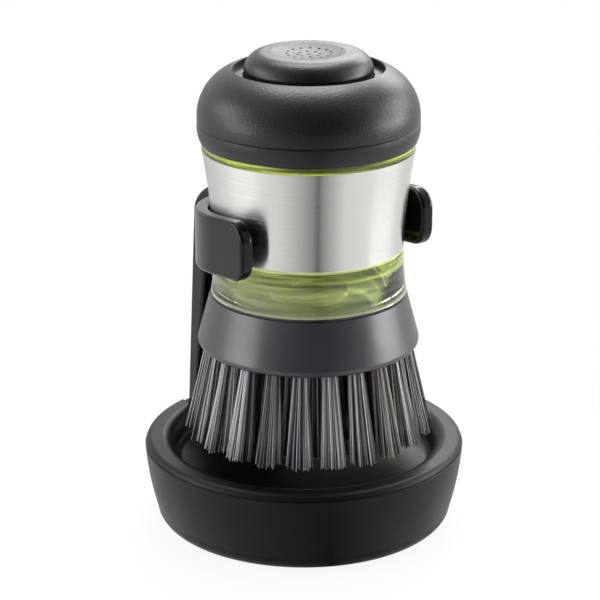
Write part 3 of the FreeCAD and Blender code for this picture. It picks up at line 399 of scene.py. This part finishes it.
# Painted shade: the foot of the outer wall is painted near black and almost opaque, for the shadowed gap and
# the dark head behind it
low_down = add_node(tree, "ShaderNodeMath", {0: height, 1: head_top + PAINTED_SHADE_HEIGHT}, operation="LESS_THAN")
painted_shade_at_foot = add_node(tree, "ShaderNodeMath", {
    0: low_down.outputs["Value"], 1: outer_wall.outputs["Value"],
}, operation="MULTIPLY")

# Frosted floor, painted highlight and painted shade at the foot lie over the wall in turn, each with how
# clear it leaves the plastic and its colour
clear = wall_clear.outputs["Value"]
shade = wall_shade.outputs["Result"]
for share, left_clear, colour in (
    (on_floor.outputs["Result"], 0.1, "#f6f8ec"),
    (painted_highlight_share.outputs["Value"], 0.15, "#fafcbe"),
    (painted_shade_at_foot.outputs["Value"], 0.1, "#0b0d06"),
):
    clear_share = add_node(tree, "ShaderNodeMapRange", {"Value": share, "To Min": 1.0, "To Max": left_clear})
    clearer = add_node(tree, "ShaderNodeMath", {
        0: clear, 1: clear_share.outputs["Result"],
    }, operation="MULTIPLY")
    covered = add_node(tree, "ShaderNodeMix", {
        "Factor": share, "A": shade, "B": hex_colour(colour),
    }, data_type="RGBA")
    clear = clearer.outputs["Value"]
    shade = covered.outputs["Result"]
surface = add_node(tree, "ShaderNodeBsdfPrincipled", {
    "Base Color": shade, "Roughness": 0.03, "IOR": 1.54,
    "Transmission Weight": clear, "Normal": flow_relief.outputs["Normal"],
})
tint = add_node(tree, "ShaderNodeVolumeAbsorption", {"Color": hex_colour("#c4d668"), "Density": 22.0})
add_node(tree, "ShaderNodeOutputMaterial", {
    "Surface": surface.outputs["BSDF"], "Volume": tint.outputs["Volume"],
})
dress(tinted_copolyester, "reservoir")

# Valve retainer: the ring on the tank's floor that holds the soap valve down.
# It is moulded in milky copolyester and polished, so it shows as a pale, warm ring through the green wall.
polished_copolyester, tree = new_material("copolyester_milky_polished")
place = add_node(tree, "ShaderNodeTexCoord").outputs["Object"]
SWIRL_WIDTH = 5 * MILLIMETRE
swirl = add_node(tree, "ShaderNodeTexNoise", {"Vector": place, "Scale": 1 / SWIRL_WIDTH, "Detail": 2.0})
swirl_shade = add_node(tree, "ShaderNodeMix", {
    "Factor": swirl.outputs["Fac"], "A": hex_colour("#f3e08a"), "B": hex_colour("#fff6d2"),
}, data_type="RGBA")
surface = add_node(tree, "ShaderNodeBsdfPrincipled", {
    "Base Color": swirl_shade.outputs["Result"], "Roughness": 0.08, "IOR": 1.54,
})
add_node(tree, "ShaderNodeOutputMaterial", {"Surface": surface.outputs["BSDF"]})
dress(polished_copolyester, "valve_retainer")

# Steel sleeve: a band of stainless steel rolled to the tank's waist and moulded in, flush with the plastic.
# It is brushed round and round, so each reflection is drawn out up and down into a soft upright streak.
# A brush mark is about 40 mm long and 0.05 mm wide, drawn at 0.15 mm so that it shows.
MARK_LENGTH = 40 * MILLIMETRE
MARK_WIDTH = 0.15 * MILLIMETRE
MARK_DEPTH = 0.0016 * MILLIMETRE
brushed_steel, tree = new_material("stainless_steel_brushed")
place = add_node(tree, "ShaderNodeTexCoord").outputs["Object"]
stretched = add_node(tree, "ShaderNodeMapping", {
    "Vector": place, "Scale": (1 / MARK_LENGTH, 1 / MARK_LENGTH, 1 / MARK_WIDTH),
})
marks = add_node(tree, "ShaderNodeTexNoise", {
    "Vector": stretched.outputs["Vector"], "Scale": 1.0, "Detail": 3.0, "Roughness": 0.6,
})
steel_shade = add_node(tree, "ShaderNodeMix", {
    "Factor": marks.outputs["Fac"], "A": hex_colour("#c9c9c4"), "B": hex_colour("#dededa"),
}, data_type="RGBA")
steel_gloss = add_node(tree, "ShaderNodeMapRange", {
    "Value": marks.outputs["Fac"], "From Min": 0.25, "From Max": 0.75, "To Min": 0.2, "To Max": 0.28,
})
mark_relief = add_node(tree, "ShaderNodeBump", {
    "Height": marks.outputs["Fac"], "Strength": 1.0, "Distance": MARK_DEPTH,
})
round_the_sleeve = add_node(tree, "ShaderNodeTangent", direction_type="RADIAL", axis="Z")
surface = add_node(tree, "ShaderNodeBsdfPrincipled", {
    "Base Color": steel_shade.outputs["Result"], "Metallic": 1.0, "Roughness": steel_gloss.outputs["Result"],
    "Anisotropic": 0.9, "Anisotropic Rotation": 0.25, "Tangent": round_the_sleeve.outputs["Tangent"],
    "Normal": mark_relief.outputs["Normal"],
})
add_node(tree, "ShaderNodeOutputMaterial", {"Surface": surface.outputs["BSDF"]})
dress(brushed_steel, "steel_sleeve")

# Cap: the collar that screws onto the tank's neck and the dome above it, which meet at a thin seam.
# Both are moulded in charcoal ABS with a leathery grain, which glitters a little where the light grazes it.
leather_grain_abs = moulded_plastic(
    "abs_charcoal_leather_grain", "#101114", "#16171a",
    grain=0.7 * MILLIMETRE, depth=0.09 * MILLIMETRE, roughness=0.36, specular=0.42)
dress(leather_grain_abs, "cap_collar", "cap_dome")

# Push button: the dished button in the dome's opening, with small dimples moulded into its middle.
# It is the cap's plastic. The dimples are narrow and deep, so no light comes back from their walls, and these
# walls are painted black and matt as painted shade.
DIMPLED_RADIUS = 8.5 * MILLIMETRE
WALL_LEAN = 0.6
button_abs = leather_grain_abs.copy()
button_abs.name = "abs_charcoal_leather_grain_dimpled"
tree = button_abs.node_tree
surface = tree.nodes["Principled BSDF"]
coordinates = add_node(tree, "ShaderNodeTexCoord")
facing = add_node(tree, "ShaderNodeSeparateXYZ", {"Vector": coordinates.outputs["Normal"]}).outputs["Z"]
upright = add_node(tree, "ShaderNodeMath", {0: facing, 1: 0.0, 2: WALL_LEAN}, operation="COMPARE")
from_axis = add_node(tree, "ShaderNodeMapping", {
    "Vector": coordinates.outputs["Object"], "Location": -brush_axis, "Scale": (1, 1, 0),
})
reach = add_node(tree, "ShaderNodeVectorMath", {0: from_axis.outputs["Vector"]}, operation="LENGTH")
in_middle = add_node(tree, "ShaderNodeMath", {
    0: reach.outputs["Value"], 1: DIMPLED_RADIUS,
}, operation="LESS_THAN")
in_dimple = add_node(tree, "ShaderNodeMath", {
    0: upright.outputs["Value"], 1: in_middle.outputs["Value"],
}, operation="MULTIPLY")
# Painted shade: the dimples' upright walls are painted black and made fully rough
dimple_painted_shade = add_node(tree, "ShaderNodeMix", {
    "Factor": in_dimple.outputs["Value"], "A": surface.inputs["Base Color"].links[0].from_socket,
    "B": hex_colour("#000000"),
}, data_type="RGBA")
dimple_gloss = add_node(tree, "ShaderNodeMix", {
    "Factor": in_dimple.outputs["Value"], "A": surface.inputs["Roughness"].links[0].from_socket, "B": 1.0,
})
tree.links.new(dimple_painted_shade.outputs["Result"], surface.inputs["Base Color"])
tree.links.new(dimple_gloss.outputs["Result"], surface.inputs["Roughness"])
dress(button_abs, "push_button")

# Pump: the cylinder that hangs in the tank's neck, the piston under the button and the spring below it.
# Cylinder and piston are moulded in white polypropylene, smooth and milky, and the spring is zinc-plated.
white_polypropylene = moulded_plastic(
    "polypropylene_white", "#d2d2cd", "#dcdcd7",
    grain=0.8 * MILLIMETRE, depth=0.005 * MILLIMETRE, roughness=0.38, specular=0.45)
dress(white_polypropylene, "pump_cylinder", "pump_piston")
dress(zinc, "return_spring")

# Camera: a long lens a little above the object, turned to its left front, as the photograph was taken.
# Left, right and towards the camera are as it sees them, and the room and the lamps are placed by them.
LOOK = Vector((0.5135, 0.7908, -0.3330))
UP = Vector((0, 0, 1))
TO_CAMERA = -Vector((LOOK.x, LOOK.y, 0)).normalized()
TO_RIGHT = UP.cross(TO_CAMERA)
camera_data = bpy.data.cameras.new("camera")
camera_data.sensor_width = 36.0
camera_data.lens = 139.4
camera_data.clip_start = 0.01
camera = bpy.data.objects.new("camera", camera_data)
camera.location = (-0.3851, -0.5907, 0.3230)
camera.rotation_mode = "QUATERNION"
camera.rotation_quaternion = LOOK.to_track_quat("-Z", "Y")
bpy.context.scene.collection.objects.link(camera)
bpy.context.scene.camera = camera

# Studio room: a seamless pale floor and white walls, which are dark only behind the camera.
# They are white to the eye and through clear plastic, and near the object the floor keeps a soft shadow.
# In reflections the dark end of the room shows as a dark streak up the middle of each round piece.
DARK_END_TURN = math.radians(11)
ROOM_LIGHT = 0.6
BRIGHTEST = 1.2
# Degrees from the middle of the dark end, to the camera's right, and how bright the room is there
FLOOR_BRIGHTNESS = [
    (-175, 0.6), (-120, 0.95), (-75, 1.2), (-45, 0.97), (-30, 0.77), (-14, 0.52), (-3, 0.33), (0, 0.06),
    (3, 0.36), (14, 0.6), (30, 1.0), (60, 1.08), (130, 0.85), (175, 0.75),
]
WALL_BRIGHTNESS = [
    (-175, 0.95), (-110, 1.0), (-75, 0.85), (-45, 0.33), (-20, 0.08), (0, 0.03),
    (20, 0.08), (45, 0.33), (75, 0.85), (110, 1.0), (175, 0.95),
]


def room_strength(tree, direction, brightness_round):
    """How bright the room is for a ray, and whether the ray shows it to the eye.

    It is white when seen, also through clear plastic, graded in a reflection, and dimmer as a light.
    """
    dark_end = math.atan2(TO_CAMERA.y, TO_CAMERA.x) + DARK_END_TURN
    turned = add_node(tree, "ShaderNodeMapping", {"Vector": direction, "Rotation": (0, 0, -dark_end)})
    around = add_node(tree, "ShaderNodeTexGradient", {
        "Vector": turned.outputs["Vector"],
    }, gradient_type="RADIAL")
    graded = add_node(tree, "ShaderNodeValToRGB", {"Fac": around.outputs["Fac"]})
    stops = graded.color_ramp.elements
    while len(stops) < len(brightness_round):
        stops.new(0.5)
    for stop, (degrees, brightness) in zip(stops, brightness_round):
        stop.position = 0.5 + degrees / 360
        share = brightness / BRIGHTEST
        stop.color = (share, share, share, 1)
    mirrored = add_node(tree, "ShaderNodeMath", {
        0: graded.outputs["Color"], 1: BRIGHTEST,
    }, operation="MULTIPLY")
    light_path = add_node(tree, "ShaderNodeLightPath")
    unseen = add_node(tree, "ShaderNodeMix", {
        "Factor": light_path.outputs["Is Glossy Ray"], "A": ROOM_LIGHT, "B": mirrored.outputs["Value"],
    })
    seen = add_node(tree, "ShaderNodeMath", {
        0: light_path.outputs["Is Camera Ray"], 1: light_path.outputs["Is Transmission Ray"],
    }, operation="MAXIMUM")
    strength = add_node(tree, "ShaderNodeMix", {
        "Factor": seen.outputs["Value"], "A": unseen.outputs["Result"], "B": 1.0,
    })
    shown = add_node(tree, "ShaderNodeMath", {
        0: seen.outputs["Value"], 1: light_path.outputs["Is Glossy Ray"],
    }, operation="MAXIMUM")
    return strength.outputs["Result"], shown.outputs["Value"]


FLOOR_HALF = 4.0
floor_mesh = bpy.data.meshes.new("studio_floor")
floor_mesh.from_pydata([
    (-FLOOR_HALF, -FLOOR_HALF, 0), (FLOOR_HALF, -FLOOR_HALF, 0),
    (FLOOR_HALF, FLOOR_HALF, 0), (-FLOOR_HALF, FLOOR_HALF, 0),
], [], [(0, 1, 2, 3)])
floor = bpy.data.objects.new("studio_floor", floor_mesh)
bpy.context.scene.collection.objects.link(floor)
# Near the object a tenth of what shows is lit paper, which holds the shadow, and further off all is white
SHADOW_NEAR = 50 * MILLIMETRE
SHADOW_FAR = 160 * MILLIMETRE
WHITE_NEAR = 0.9
paper, tree = new_material("studio_paper_white")
place = add_node(tree, "ShaderNodeTexCoord").outputs["Object"]
floor_strength, floor_shown = room_strength(tree, place, FLOOR_BRIGHTNESS)
distance = add_node(tree, "ShaderNodeVectorMath", {0: place}, operation="LENGTH")
away = add_node(tree, "ShaderNodeMapRange", {
    "Value": distance.outputs["Value"], "From Min": SHADOW_NEAR, "From Max": SHADOW_FAR,
    "To Min": WHITE_NEAR, "To Max": 1.0,
}, interpolation_type="SMOOTHSTEP")
white_share = add_node(tree, "ShaderNodeMath", {
    0: away.outputs["Result"], 1: floor_shown,
}, operation="MULTIPLY")
lit_paper = add_node(tree, "ShaderNodeBsdfDiffuse", {"Color": hex_colour("#f4f4f4")})
white_paper = add_node(tree, "ShaderNodeEmission", {
    "Color": hex_colour("#ffffff"), "Strength": floor_strength,
})
mixed = add_node(tree, "ShaderNodeMixShader", {
    0: white_share.outputs["Value"], 1: lit_paper.outputs["BSDF"], 2: white_paper.outputs["Emission"],
})
add_node(tree, "ShaderNodeOutputMaterial", {"Surface": mixed.outputs["Shader"]})
floor_mesh.materials.append(paper)

world = bpy.data.worlds.new("studio_walls")
bpy.context.scene.world = world
world.use_nodes = True
tree = world.node_tree
tree.nodes.clear()
direction = add_node(tree, "ShaderNodeTexCoord").outputs["Generated"]
wall_strength = room_strength(tree, direction, WALL_BRIGHTNESS)[0]
walls = add_node(tree, "ShaderNodeBackground", {"Color": hex_colour("#ffffff"), "Strength": wall_strength})
add_node(tree, "ShaderNodeOutputWorld", {"Surface": walls.outputs["Background"]})

# Lamps: a low and a high softbox on the left and the right, one overhead, and one behind for the flat tops.
# The head leans back and mirrors the low ones, and the round cap mirrors the high ones near its edges.
AIM = Vector((0, 0, 0.08))


def softbox(name, right, towards_camera, up, width, height, radiance):
    """An area lamp that looks at the object. A flat lamp's power is its radiance times pi times its area."""
    lamp = bpy.data.lights.new(name, "AREA")
    lamp.shape = "RECTANGLE"
    lamp.size = width
    lamp.size_y = height
    lamp.energy = radiance * math.pi * width * height
    place = TO_RIGHT * right + TO_CAMERA * towards_camera + UP * up
    box = bpy.data.objects.new(name, lamp)
    box.location = place
    box.rotation_mode = "QUATERNION"
    box.rotation_quaternion = (AIM - place).to_track_quat("-Z", "Y")
    bpy.context.scene.collection.objects.link(box)


softbox("left_low_softbox", -0.88, 0.26, 0.17, width=0.6, height=0.22, radiance=5.0)
softbox("left_high_softbox", -0.9, -0.06, 0.45, width=0.6, height=0.34, radiance=4.0)
softbox("right_low_softbox", 0.9, -0.04, 0.17, width=0.6, height=0.22, radiance=9.0)
softbox("right_high_softbox", 0.86, -0.32, 0.45, width=0.6, height=0.34, radiance=5.5)
softbox("top_softbox", 0.0, -0.4, 1.0, width=0.6, height=0.5, radiance=9.0)
softbox("back_softbox", 0.32, -0.9, 0.6, width=0.8, height=0.4, radiance=5.2)

bpy.context.scene.view_settings.view_transform = "Standard"
